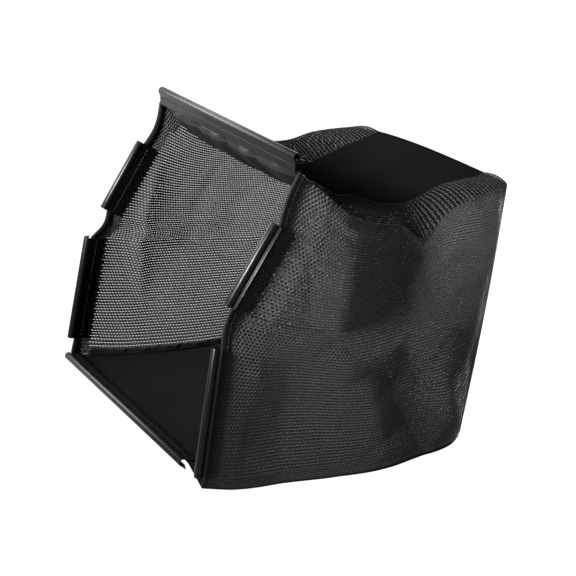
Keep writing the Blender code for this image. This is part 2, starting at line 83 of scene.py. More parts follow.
# Slack of the standing bag, where 1 is the right side and -1 the left. The fades are how steeply folds and
# creases die out towards hem and back seam.
SAG = {1: 0.0465, -1: 0.029}
TOP_DISH = 0.010
TOP_DISH_SKEW = 0.5
TOP_DROP_SETBACK = 0.016
TOP_DROP_REACH = 0.30
TOP_EDGE_REACH = 0.10
TOP_FULLNESS_REACH = 0.40
TOP_EDGE_RISE = 0.0075
BAND_WIDTH = {1: 0.046, -1: 0.058}
BAND_FRONT_WIDTH = 0.009
BAND_SPREAD = 0.30
BAND_CROWN = 0.003
SEAM_LIFT = {1: 0.017, -1: -0.018}
BELLY = 0.012
SHOULDER_BOW = 0.006
BACK_BELLY = 0.014
BACK_CORNER_BOW = 0.003
BACK_TOP_BOW = 0.004
BACK_TOP_CROWN = 0.0045
BACK_CROWN_SKEW = 0.7
FOOT_BOW = {1: 0.025, -1: -0.034}
FOOT_BOW_SKEW = {1: 1.6, -1: 1.15}
FOOT_SHIFT = {1: (0, 0.004, 0.003), -1: (0, -0.004, -0.002)}
BOTTOM_CLIP_SETBACK = 0.0125
BOTTOM_CLIP_FADE = 0.100
CREST_DIP = {1: 0.018, -1: 0.0}
CREST_DIP_AT = 0.575
CREST_DIP_SPREAD = 0.07
EDGE_SLACK = {1: -0.003, -1: 0.005}
FOLD_HEIGHT = 0.004
FOLD_SPREAD = 0.016
FOLD_END_SHARE = 0.15
FOLD_FADE = 4
CREASE_FADE = 14
FACET_ROUND = 0.1

# Hook strip section
CHANNEL = 0.0066
CLIP_WALL = 0.0013
LIP_LENGTH = 0.0048
LIP_LEAN = 20.0
LIP_BEND_SHARE = 0.8
LIP_ROOT_ANGLE = 50.0
FLANGE_PINCH_SLOPE = 20.0
FLANGE_START = 0.0008
HOOK_REACH = 0.010
SIDE_CLIP_WIDTH = 0.026
END_CLIP_WIDTH = 0.020
TOP_CLIP_LENGTH = 0.351
BOTTOM_CLIP_LENGTH = 0.332
BOTTOM_CLIP_SHIFT = -0.026

# Edge binding and sewing
TAPE = 0.0006
TAPE_LEG = 0.0075
TAPE_END_GAP = 0.0018
TAPE_BEND = 0.05
CLIP_GAP = 0.0003
STITCH_SHARE = 0.62

# Dressing: thickness and cells of the closed cloths, how far their small folds rise, and the turned seams
TOP_CLOTH = 0.0009
TOP_CELLS = (96, 110)
PUCKER_HEIGHTS = (0.0020, 0.0016)
PUCKER_REACH = 0.3
SLACK_HEIGHT = 0.0011
FLOOR_CLOTH = 0.0011
FLOOR_CELLS = (80, 90)
FLOOR_INSET = -0.0004
FLOOR_RIPPLE = 0.0007
FLOOR_RIPPLE_DROP = 0.0001
SEAM_CLOTH = 0.0008
SEAM_WIDTH = 0.010
SEAM_CELL = 0.0025
SEAM_WAVES = ((0.0013, 190, 1), (0.0008, 467, 2))
SEAM_FRAY = 0.10
BINDING_RINGS = 150
BINDING_RIPPLE = 0.07

# Dressing: hook strips and stitches
CLIP_EDGE_ROUND = 0.00022
CLIP_EDGE_ANGLE = 50.0
HOOK_STEPS = 26
WELD = 1e-5
THREAD_RADIUS = 0.00026
THREAD_SIDES = 6
STITCH_LENGTH = 0.0027
STITCH_RISE = 0.0004
STITCH_PITCH = 0.0046
STITCH_STEPS = 7
CLIP_STITCH_MARGIN = 0.003
CLIP_STITCH_LIFT = 0.0004
BINDING_STITCH_MARGIN = 0.004
BINDING_STITCH_SHARE = 0.76

# Looks. Over its bands the net's colour carries painted shade: light and dark rib stripes and an overall
# darkening, which fade in at the crest over two distances.
NET_COLOUR = (0.010, 0.0096, 0.010)
NET_ROUGHNESS = 0.5
NET_SPECULAR = 0.06
BAND_RIB_PITCH = 0.0051
BAND_RIB_PAINTED_SHADE = 0.75
BAND_PAINTED_SHADE = 0.40
BAND_FADE_BELOW = 0.012
BAND_FADE_ABOVE = 0.003
TOP_COLOUR = (0.0014, 0.0014, 0.0015)
REVERSE_COLOUR = (0.0018, 0.0017, 0.0018)
FLOOR_COLOUR = (0.0028, 0.0028, 0.0028)
TAPE_COLOUR = (0.0030, 0.0030, 0.0031)
THREAD_COLOUR = (0.009, 0.009, 0.009)
CLIP_COLOUR = (0.0008, 0.0008, 0.0008)
CLIP_ROUGHNESS = 0.31
COAT_PITCH = 0.0011
TAPE_RIB_PITCH = 0.0012
NOISE_GAIN = 3.0

# Studio. A light is its name, place, what it faces, its size, its spread in degrees and its power.
STUDIO_SIZE = 24.0
SURROUND = 0.45
FLOOR_GREY = 0.05
FLOOR_GLOW = 1.0
LIGHTS = (
    ("left_softbox", (0.52, -1.84, 1.30), (0, 0, 0.68), (0.7, 0.7), 44, 72.0),
    ("back_softbox", (-1.7, 0.75, 1.2), (0, 0, 0.3), (1.6, 0.7), 180, 14.0),
    ("right_softbox", (1.9, 1.0, 1.3), (0.1, 0, 0.15), (0.7, 1.0), 180, 5.0),
    ("far_softbox", (-1.85, -0.86, 1.07), (0, 0, 0.2), (1.2, 1.2), 180, 60.0),
    ("rear_softbox", (-1.20, 1.90, 0.08), (0, 0.1, 0.10), (1.0, 0.12), 60, 22.0),
)
CAMERA_PLACE = (1.2499, -0.5872, 0.6469)
CAMERA_AIM = (-0.8375, 0.4218, -0.3476)
CAMERA_LENS = 81.25

HALF_CLOTH = CLOTH / 2
FRONT_Y = -BASE_DEPTH / 2
BACK_Y = BASE_DEPTH / 2
SIDES = {"right": 1, "left": -1}

# Share of a side's full sag along its crest, from the hem (0) to the back edge (1)
SAG_PROFILE = ((0.0, 0.0), (0.18, 0.70), (0.45, 1.0), (0.62, 0.90), (0.78, 0.38), (1.0, 0.0))

# How far the seam between band and top panel lies above the crest beside it, along the bag, as a share of
# that side's seam lift
SEAM_PROFILE = {
    1: ((0.0, 0.0), (0.12, 0.6), (0.28, 1.0), (0.5, 0.6), (0.8, 0.35), (1.0, 0.0)),
    -1: ((0.0, 0.0), (0.25, 0.55), (0.5, 1.0), (0.75, 0.8), (1.0, 0.0)),
}

# Place v of the crest, where a side's band begins
BAND = len(STRETCHES)

# Stretches of the mouth's edge that carry a hook strip
CLIP_STRETCHES = {1: "lower", 3: "upper"}

# Soft folds of the sides: start and end as (share of depth, share of height), and share of FOLD_HEIGHT
FOLDS = (
    ((0.00, 0.96), (0.36, 0.90), 1.0),
    ((0.04, 0.86), (0.30, 0.74), 0.6),
    ((0.97, 0.95), (0.60, 0.72), 1.3),
    ((0.34, 0.88), (0.33, 0.50), 0.9),
    ((0.00, 0.47), (0.24, 0.42), -1.0),
    ((0.28, 0.46), (0.56, 0.45), 0.9),
    ((0.98, 0.04), (0.76, 0.30), 1.1),
    ((0.08, 0.30), (0.30, 0.12), 0.6),
)

# Facets and creases of the dressed cloth, finer than the solids' folds: start and end as (share of depth,
# share of height), height, spread, and how the ridge falls off (0 in flat facets, 1 a crisp crease, 2 a roll)
CREASES = {
    1: (
        ((0.34, 0.88), (0.33, 0.50), -0.0036, 0.016, 2),
        ((0.12, 1.00), (0.35, 0.56), 0.0175, 0.08, 0),
        ((0.46, 0.98), (0.66, 0.55), -0.0255, 0.088, 0),
        ((0.94, 0.98), (0.94, 0.62), 0.018, 0.08, 0),
        ((-0.10, 0.55), (0.90, 0.50), 0.014, 0.085, 0),
        ((0.17, 0.46), (0.22, 0.06), -0.011, 0.05, 0),
        ((0.42, 0.40), (0.58, 0.12), 0.012, 0.05, 0),
        ((0.72, 0.37), (0.97, 0.05), 0.018, 0.045, 0),
        ((0.00, 0.545), (0.16, 0.552), -0.003, 0.0055, 1.5),
        ((0.00, 0.43), (0.20, 0.34), 0.0028, 0.008, 1.3),
        ((0.02, 0.90), (0.19, 0.60), -0.0024, 0.007, 1.3),
        ((0.02, 0.965), (0.40, 0.935), 0.0052, 0.006, 1.6),
        ((0.02, 0.915), (0.28, 0.875), 0.0042, 0.006, 1.6),
        ((0.62, 0.74), (0.70, 0.60), 0.0026, 0.007, 1.3),
    ),
    -1: (
        ((0.02, 0.80), (0.12, 0.55), -0.008, 0.01, 1.6),
        ((0.12, 0.55), (0.19, 0.24), -0.009, 0.011, 1.6),
        ((0.10, 0.53), (0.27, 0.51), -0.006, 0.008, 1.5),
        ((0.40, 0.47), (0.70, 0.45), -0.007, 0.008, 1.5),
        ((0.50, 0.80), (0.56, 0.40), 0.006, 0.04, 0),
    ),
}

# Net: pitch of the holes, half width and half height of a hole as shares of the pitch, how large the holes of
# the doubled hem and of the back's closer net are beside the plain ones, how far the hem's patch reaches from
# the top corner and how it slants, how far the thread zigzags, and how far knots and threads stand proud of
# the cloth's middle
NET_PITCH = 0.0037
NET_ROW_PITCH = 0.0036
HALF_HOLE = (0.455, 0.084)
DOUBLED_HOLES = 0.2
CORNER_PATCH = 0.024
PATCH_SLANT = 0.6
BACK_HOLES = 0.6
ZIGZAG = 0.15
SIDE_NET_HEIGHTS = (0.00032, 0.00016)
BACK_NET_HEIGHTS = (0.00095, 0.00080)

# Corners of a hole from its middle, in pitches: right, top, left and bottom
RIM = np.array(((1, 0), (0, 1), (-1, 0), (0, -1))) * HALF_HOLE


def points(x, y, z):
    """Points from three coordinates, of any shapes that go together."""
    return np.stack(np.broadcast_arrays(x, y, z), axis=-1).astype(float)


def arrays(*values):
    """The values as arrays of one shape."""
    return np.broadcast_arrays(*(np.asarray(value, float) for value in values))


def mix(a, b, share):
    return a + (b - a) * share


def blend(a, b, share):
    """Points between points a and b, each at its own share."""
    return a + (b - a) * np.asarray(share, float)[..., None]


def smooth(share):
    share = np.clip(share, 0.0, 1.0)
    return share * share * (3 - 2 * share)


def along(stations, place):
    """Smooth curve through (place, value) stations."""
    x, y = np.array(stations, float).T
    k = np.clip(np.searchsorted(x, place) - 1, 0, len(x) - 2)
    index = np.arange(len(x))
    before, after = np.maximum(index - 1, 0), np.minimum(index + 1, len(x) - 1)
    slopes = (y[after] - y[before]) / (x[after] - x[before])
    width = x[k + 1] - x[k]
    t = (place - x[k]) / width
    start = (1 + 2 * t) * (1 - t) ** 2 * y[k] + t * (1 - t) ** 2 * width * slopes[k]
    return start + t * t * (3 - 2 * t) * y[k + 1] + t * t * (t - 1) * width * slopes[k + 1]


def mouth_line(side):
    """Corners of a side panel's mouth edge from the foot up, and the direction of the hem at each."""
    corner = np.array((side * MOUTH_FOOT_WIDTH / 2, FRONT_Y, FOOT_LIFT))
    corners = [corner]
    for length, lean, width in STRETCHES:
        angle = radians(lean)
        corner = np.array((side * width / 2, corner[1] + length * sin(angle), corner[2] + length * cos(angle)))
        corners.append(corner)
    hems = []
    for lean, flare in HEM_TURNS:
        slope, turn = radians(lean), radians(flare)
        hems.append((side * sin(turn), cos(turn) * cos(slope), -cos(turn) * sin(slope)))
    corners[0] = corners[0] + FOOT_SHIFT[side]
    return np.array(corners), np.array(hems)


MOUTH = {side: mouth_line(side) for side in SIDES.values()}
TOP_CORNER = MOUTH[1][0][-1]


def mouth_edge(side, v):
    """Points on the mouth's edge and their hem directions, v stretches up from the foot."""
    v = np.minimum(np.asarray(v, float), BAND)
    corners, hems = MOUTH[side]
    k = np.clip(v.astype(int), 0, BAND - 1)
    share = v - k
    hem = blend(hems[k], hems[k + 1], share)
    slack = np.where(np.isin(k - 1, list(CLIP_STRETCHES)), EDGE_SLACK[side] * np.sin(pi * share), 0.0)
    return blend(corners[k], corners[k + 1], share) + hem * slack[..., None], hem


def height_share(v):
    """Height of the mouth's edge at v, as a share of the whole mouth."""
    return (mouth_edge(1, v)[0][..., 2] - FOOT_LIFT) / (TOP_CORNER[2] - FOOT_LIFT)


def back_corner(side, f):
    """Points on the upright seam between side and back, f of the way up."""
    y = BACK_Y + BACK_LEAN * f + BACK_CORNER_BOW * np.sin(pi * f)
    return points(side * mix(BACK_FOOT_WIDTH, BACK_TOP_WIDTH, f) / 2, y, mix(SEAM_GAP, BACK_HEIGHT[side], f))


def ridge(u, f, start, end, height, spread, power):
    """A fold along the line from start to end, both shares of depth and height."""
    scale = np.array((BASE_DEPTH, RIGHT_BACK_HEIGHT))
    run = (np.array(end) - start) * scale
    here = np.stack(((u - start[0]) * scale[0], (f - start[1]) * scale[1]), axis=-1)
    t = np.clip(here @ run / (run @ run), 0.0, 1.0)
    away = np.linalg.norm(here - t[..., None] * run, axis=-1) / spread
    facet = np.clip(1 + FACET_ROUND - np.hypot(away, FACET_ROUND), 0, 1)
    shape = np.exp(-away ** power) if power else facet
    return height * shape * np.sin(pi * mix(FOLD_END_SHARE, 1 - FOLD_END_SHARE, t))


def fold_lift(side, u, f):
    """How far the folds and creases lift the cloth at share u of the depth and f of the height."""
    lift = sum(ridge(u, f, start, end, FOLD_HEIGHT * share, FOLD_SPREAD, 2) for start, end, share in FOLDS)
    creased = sum(ridge(u, f, *crease) for crease in CREASES[side])
    inside = np.minimum(u, 1 - u)
    return lift * np.clip(FOLD_FADE * inside, 0, 1) + creased * np.clip(CREASE_FADE * inside, 0, 1)


def side_cloth(side, v, u, dipped=True):
    """Middle of a side panel's cloth below the crest: u runs from -1 at the mouth's edge, over the hem's
    inner line at 0, to 1 at the back."""
    v, u = arrays(v, u)
    edge, hem = mouth_edge(side, v)
    in_hem = edge + hem * (HEM * (1 + np.minimum(u, 0.0)))[..., None]
    u = np.maximum(u, 0.0)
    f = height_share(v)
    point = blend(edge + hem * HEM, back_corner(side, f), u)
    foot, foot_hem = mouth_edge(side, 0.0)
    foot_rise = foot[2] + foot_hem[2] * HEM - SEAM_GAP
    run = np.maximum(0.0, 1 - u * BASE_DEPTH / FLOOR_RUN)
    point[..., 2] -= foot_rise * ((1 - u) - run * run) * (1 - f) ** 3
    point[..., 2] -= SAG[side] * along(SAG_PROFILE, u) * f * f
    if dipped:
        away = (u - CREST_DIP_AT) / CREST_DIP_SPREAD
        point[..., 2] -= CREST_DIP[side] * np.exp(-away * away) * f ** 8
    bow = FOOT_BOW[side] * (1 - f) ** 2 * np.sin(pi * u ** FOOT_BOW_SKEW[side])
    bow += (BELLY * 4 * f * (1 - f) + SHOULDER_BOW * f * f) * np.sin(pi * u)
    point[..., 0] += side * (bow + fold_lift(side, u, f))
    return np.where((u > 0)[..., None], point, in_hem)


def back_bow(x, u):
    """How far the top's back edge lies behind and above the straight line between its corners."""
    a = 2 * x / BACK_TOP_WIDTH
    share = (1 - a * a) * np.maximum(0.0, u) ** 3
    return points(0, BACK_TOP_BOW * share, BACK_TOP_CROWN * (1 - BACK_CROWN_SKEW * a) * share)


def band_width(side, u):
    return mix(BAND_FRONT_WIDTH, BAND_WIDTH[side], smooth(u / BAND_SPREAD))


def top_seam(side, u):
    """Where a side panel's band ends over the top edge, and the top panel begins."""
    behind = np.maximum(0.0, u)
    width = band_width(side, u)
    tilt = (BACK_HEIGHT[-side] - BACK_HEIGHT[side]) * width / BACK_TOP_WIDTH * behind ** 3
    lift = SEAM_LIFT[side] * along(SEAM_PROFILE[side], behind)
    return side_cloth(side, float(BAND), u, dipped=False) + points(-side * width, 0, lift + tilt)


def side_point(side, v, u):
    """Middle of a side panel's cloth: v from 0 at the foot to 5 at the crest and 6 at the band's end."""
    v, u = arrays(v, u)
    wall = side_cloth(side, np.minimum(v, BAND), u)
    share = np.maximum(v - BAND, 0.0)
    band = blend(wall, top_seam(side, u), share)
    band += back_bow(band[..., 0], u)
    band[..., 2] += BAND_CROWN * np.sin(pi * share) * smooth(u / BAND_SPREAD)
    return np.where((v > BAND)[..., None], band, wall)


def top_point(a, u):
    """Middle of the top panel's cloth: a from -1 at the left seam to 1 at the right, u as on the sides."""
    a, u = arrays(a, u)
    inset = np.array((SEAM_GAP, 0, 0))
    left, right = top_seam(-1, u) + inset, top_seam(1, u) - inset
    middle = (left + right) / 2
    in_hem = points(0, TOP_CORNER[1], TOP_CORNER[2] + TOP_EDGE_RISE - HEM * (1 + np.minimum(u, 0.0)))
    behind = np.maximum(u, 0.0)
    drop = np.maximum(0.0, 1 - behind / TOP_DROP_REACH)
    dish = TOP_DISH * np.sin(pi * behind ** TOP_DISH_SKEW)
    hung = points(0, middle[..., 1] - TOP_DROP_SETBACK * drop * drop, middle[..., 2] - dish)
    target = blend(in_hem, hung, smooth(behind / TOP_EDGE_REACH))
    fullness = 1 - np.abs(a) ** mix(10, 2, smooth(u / TOP_FULLNESS_REACH))
    point = blend(left, right, (a + 1) / 2) + (target - middle) * fullness[..., None]
    return point + back_bow(point[..., 0], u)


def floor_edge(x):
    """The floor panel's front edge at x: the bottom clip holds it straight, pulled in at its right end."""
    left, right = MOUTH[-1][0][0], MOUTH[1][0][0]
    held = np.array((BOTTOM_CLIP_SHIFT + BOTTOM_CLIP_LENGTH / 2, FRONT_Y + BOTTOM_CLIP_SETBACK, right[2]))
    x = np.asarray(x, float)
    on_clip = blend(left, held, (x - left[0]) / (held[0] - left[0]))
    beside = blend(held, right, (x - held[0]) / (right[0] - held[0]))
    return np.where((x < held[0])[..., None], on_clip, beside)


def floor_point(a, u):
    """Middle of the floor panel: a across from -1 to 1, u from the mouth's edge to the back."""
    a, u = arrays(a, u)
    left, right = side_cloth(-1, 0.0, u), side_cloth(1, 0.0, u)
    share = (a + 1) / 2
    x = mix(left[..., 0] + FLOOR_INSET, right[..., 0] - FLOOR_INSET, share)
    y = np.minimum(mix(left[..., 1], right[..., 1], share), BACK_Y - FLOOR_INSET)
    edge = floor_edge(x)
    plain_edge = mix(MOUTH[-1][0][0][1], MOUTH[1][0][0][1], share)
    into = y - plain_edge
    fade = 1 - smooth((into - HEM) / BOTTOM_CLIP_FADE)
    strip_drop = tan(radians(FLOOR_STRIP_SLOPE))
    run = np.clip(1 - (into - HEM) / FLOOR_RUN, 0.0, 1.0)
    z = HALF_CLOTH + (edge[..., 2] - np.minimum(into, HEM) * strip_drop - HALF_CLOTH) * run * run
    return points(x, y + (edge[..., 1] - plain_edge) * fade, z)


def back_point(a, f):
    """Middle of the back panel: a across from -1 to 1, f up from the floor."""
    a, f = arrays(a, f)
    inset = HALF_CLOTH + SEAM_GAP
    left, right = back_corner(-1, f), back_corner(1, f)
    x = a * (right[..., 0] - inset)
    y = right[..., 1] + (1 - a * a) * BACK_BELLY * np.sin(pi * f)
    z = mix(left[..., 2], right[..., 2], (a + 1) / 2) - inset * f
    return points(x, y, z) + back_bow(x, f)


def surface_normals(place, c, r, step=0.05):
    """Unit normals of a surface whose place() takes arrays of columns and rows."""
    across = place(c + step, r) - place(c - step, r)
    up = place(c, r + step) - place(c, r - step)
    normal = np.cross(across, up)
    return normal / np.maximum(np.linalg.norm(normal, axis=-1), 1e-12)[..., None]


def new_mesh(name, vertices, faces):
    mesh = bpy.data.meshes.new(name)
    mesh.from_pydata(vertices.reshape(-1, 3).tolist(), [], faces)
    return mesh


def link(item):
    bpy.context.scene.collection.objects.link(item)


def settle(piece):
    """Shades a finished piece smooth, and gives it the bag's body."""
    piece.data.shade_smooth()
    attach(piece, "root")
    return piece


def new_piece(name, mesh, materials):
    """Links a finished mesh as a piece of the bag, with its materials."""
    piece = bpy.data.objects.new(name, mesh)
    link(piece)
    for material in materials:
        mesh.materials.append(material)
    return settle(piece)


def vertex_places(mesh):
    return np.array([vert.co for vert in mesh.vertices])


def write_uv(mesh, uv):
    """Gives the mesh its only UV map, in metres of cloth, from one place for each vertex."""
    for layer in list(mesh.uv_layers):
        mesh.uv_layers.remove(layer)
    layer = mesh.uv_layers.new(name="cloth")
    corner_vertex = np.empty(len(mesh.loops), dtype=np.int32)
    mesh.loops.foreach_get("vertex_index", corner_vertex)
    layer.uv.foreach_set("vector", np.asarray(uv, np.float32)[corner_vertex].ravel())


def net_piece(name, place, columns, rows, heights, hole_size, materials, crest_row):
    """A net of zigzag threads with a hole in every cell. place() takes arrays of columns and rows, counted in
    holes, and hole_size() the same for the holes' size beside the plain one. Every second row is shifted by
    half a hole. Faces are on both sides and meet at the holes' rims, and above crest_row they take the second
    material."""
    width = 2 * columns + 1
    k = np.arange(width)[None, :]
    j = np.arange(rows + 1)[:, None]
    low = (k + j) % 2 == 1
    inner = (j > 0) & (j < rows)
    c = np.broadcast_to(k / 2, low.shape)
    r = j + np.where(low, -ZIGZAG, ZIGZAG) * inner
    node = place(c, r)
    normal = surface_normals(place, c, r)
    knot, thread = heights
    front = node + normal * np.where(low, thread, knot)[..., None]
    back = node - normal * np.where(low, knot, thread)[..., None]
    count = width * (rows + 1)

    def at(line, half_column):
        return line * width + half_column

    cell_line, cell_column, filled = [], [], []
    for line in range(rows):
        shifted = line % 2
        centres = range(2, 2 * columns - 1, 2) if shifted else range(1, 2 * columns, 2)
        cell_line += [line] * len(centres)
        cell_column += list(centres)
        if shifted:
            filled += [(line, 0), (line, 2 * columns - 1)]
    line, column = np.array(cell_line), np.array(cell_column)
    size = hole_size(column / 2, line + 0.5)
    rim = [place(column / 2 + across * size, line + 0.5 + up * size) for across, up in RIM]
    first_rim = 2 * count
    right, top, left, bottom = (first_rim + i * len(line) + np.arange(len(line)) for i in range(4))
    faces = []
    for offset, turn in ((0, 1), (count, -1)):
        bl, b, br = (offset + at(line, column + shift) for shift in (-1, 0, 1))
        tl, t, tr = (offset + at(line + 1, column + shift) for shift in (-1, 0, 1))
        for ring in ((b, br, right, bottom), (br, tr, right), (tr, t, top, right),
                     (t, tl, left, top), (tl, bl, left), (bl, b, bottom, left)):
            faces += np.stack(ring, axis=1)[:, ::turn].tolist()
        for row, start in filled:
            ring = [at(row, start), at(row, start + 1), at(row + 1, start + 1), at(row + 1, start)]
            faces.append([offset + i for i in ring][::turn])
    along_columns, up_rows = np.arange(width), np.arange(rows + 1)
    for border, turn in ((at(0, along_columns), 1), (at(rows, along_columns), -1),
                         (at(up_rows, 0), -1), (at(up_rows, 2 * columns), 1)):
        here, there = border[:-1], border[1:]
        faces += np.stack((here, count + here, count + there, there), axis=1)[:, ::turn].tolist()
    mesh = new_mesh(name, np.concatenate([front.reshape(-1, 3), back.reshape(-1, 3)] + rim), faces)
    flat = np.stack(np.broadcast_arrays(c, r), axis=-1).reshape(-1, 2)
    centre = np.stack((column / 2, line + 0.5), axis=-1)
    cells = np.concatenate([flat, flat] + [centre + shift for shift in RIM])
    write_uv(mesh, cells * (NET_PITCH, NET_ROW_PITCH))
    piece = new_piece(name, mesh, materials)
    lowest = np.array([cells[face, 1].min() for face in faces])
    mesh.polygons.foreach_set("material_index", (lowest >= crest_row).astype(np.int32))
    return piece


def side_net(word, side, materials):
    """The net of one side, from the mouth's edge to the back seam and over the top edge to the band's end."""
    lengths = np.append(EDGE_LENGTHS, EDGE_LENGTHS[-1] + BAND_WIDTH[side])
    depth = BASE_DEPTH - HEM / 2
    rows = round(lengths[-1] / NET_ROW_PITCH)
    hem_columns = round(HEM / NET_PITCH)
    columns = hem_columns + round(depth / NET_PITCH)

    def place(c, r):
        v = np.interp(r / rows * lengths[-1], lengths, range(len(lengths)))
        u = np.where(c < hem_columns, c / hem_columns - 1, (c - hem_columns) / (columns - hem_columns))
        return side_point(side, np.clip(v, 0, BAND + 1), np.clip(u, -1, 1))

    def hole_size(c, r):
        below_crest = lengths[-2] - r / rows * lengths[-1]
        in_corner = (c - hem_columns) * NET_PITCH + below_crest * PATCH_SLANT < CORNER_PATCH
        in_corner = in_corner & (below_crest < CORNER_PATCH)
        return np.where((c < hem_columns + 0.6) | (r < 2) | in_corner, DOUBLED_HOLES, 1.0)

    crest_row = rows * lengths[-2] / lengths[-1]
    net = net_piece(f"{word}_net", place, columns, rows, SIDE_NET_HEIGHTS, hole_size, materials, crest_row)
    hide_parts(f"{word}_side_panel")


def back_net(material):
    columns, rows = round(BACK_FOOT_WIDTH / NET_PITCH), round(RIGHT_BACK_HEIGHT / NET_ROW_PITCH)

    def place(c, r):
        return back_point(np.clip(2 * c / columns - 1, -1, 1), np.clip(r / rows, 0, 1))

    net = net_piece("back_net", place, columns, rows, BACK_NET_HEIGHTS, lambda c, r: BACK_HOLES, [material],
                    rows + 1)
    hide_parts("back_panel")


def closed_cloth(name, place, size, cells, thickness, materials):
    """A closed cloth: a grid of cells laid in place, given its thickness, with a face and a reverse."""
    bpy.ops.mesh.primitive_grid_add(x_subdivisions=cells[0], y_subdivisions=cells[1], size=2)
    cloth = bpy.context.object
    cloth.name = cloth.data.name = name
    flat = vertex_places(cloth.data)
    cloth.data.vertices.foreach_set("co", place(flat[:, 0], flat[:, 1]).ravel())
    write_uv(cloth.data, (flat[:, :2] + 1) / 2 * size)
    for material in materials:
        cloth.data.materials.append(material)
    wall = cloth.modifiers.new("thickness", "SOLIDIFY")
    wall.thickness = thickness
    wall.offset = 0
    wall.use_even_offset = False
    wall.material_offset = len(materials) - 1
    wall.material_offset_rim = 0
    bpy.ops.object.modifier_apply(modifier=wall.name)
    cloth.select_set(False)
    return settle(cloth)


def top_pucker(a, u):
    """Soft folds that hang from the top clip and die out behind it, and slack across the sagging middle."""
    behind = np.clip((u + 0.4) / 0.75, 0.0, 1.0)
    hanging = np.sin(pi * behind ** 0.7) * (1 - a * a)
    broad, narrow = PUCKER_HEIGHTS
    folds = broad * np.sin(13 * a + 2.2 * a * a + 0.6) + narrow * np.sin(29 * a + 1.1)
    slack = SLACK_HEIGHT * np.sin(9 * a + 5 * u) * smooth(u / PUCKER_REACH)
    slack = slack * (1 - smooth((u - 0.7) / PUCKER_REACH))
    return hanging * folds * (1 - smooth((u - 0.05) / PUCKER_REACH)) + slack * (1 - a * a)


def top_cloth(face, reverse):
    def place(a, u):
        laid = top_point(a, u)
        normal = surface_normals(lambda c, r: top_point(np.clip(c, -1, 1), np.clip(r, -1, 1)), a, u, 0.01)
        return laid + normal * top_pucker(a, u)[..., None]

    size = (BACK_TOP_WIDTH, BASE_DEPTH)
    cloth = closed_cloth("top_cloth", place, size, TOP_CELLS, TOP_CLOTH, [face, reverse])
    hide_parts("top_panel")


def floor_cloth(face):
    def place(a, u):
        laid = floor_point(a, u)
        ripple = FLOOR_RIPPLE * np.sin(7 * a + 3 * u) * np.sin(5 * u + 1)
        ripple = ripple * smooth(u / 0.15) * smooth((1 - u) / 0.15)
        laid[..., 2] += np.maximum(ripple, -FLOOR_RIPPLE_DROP) * smooth((1 - np.abs(a)) / 0.1)
        return laid

    size = (MOUTH_FOOT_WIDTH, BASE_DEPTH + HEM)
    cloth = closed_cloth("floor_cloth", place, size, FLOOR_CELLS, FLOOR_CLOTH, [face])
    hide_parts("bottom_panel")


def frame_of(start, end, into, outward):
    """Axis, direction into the cloth and outward normal of a straight strip along the cloth's edge."""
    axis = (end - start) / np.linalg.norm(end - start)
    into = into - axis * (into @ axis)
    into = into / np.linalg.norm(into)
    normal = np.cross(axis, into)
    return axis, into, normal if normal @ outward > 0 else -normal


def select_edges(piece, chosen):
    """Selects, in edit mode, the edges whose two ends are both chosen by place."""
    bpy.ops.mesh.select_all(action="DESELECT")
    bm = bmesh.from_edit_mesh(piece.data)
    for vert in bm.verts:
        vert.select = chosen(vert.co)
    bm.select_flush_mode()
    bmesh.update_edit_mesh(piece.data)


def weld(threshold):
    """In edit mode: joins doubled points and turns the faces outwards."""
    bpy.ops.mesh.select_all(action="SELECT")
    bpy.ops.mesh.remove_doubles(threshold=threshold)
    bpy.ops.mesh.normals_make_consistent(inside=False)


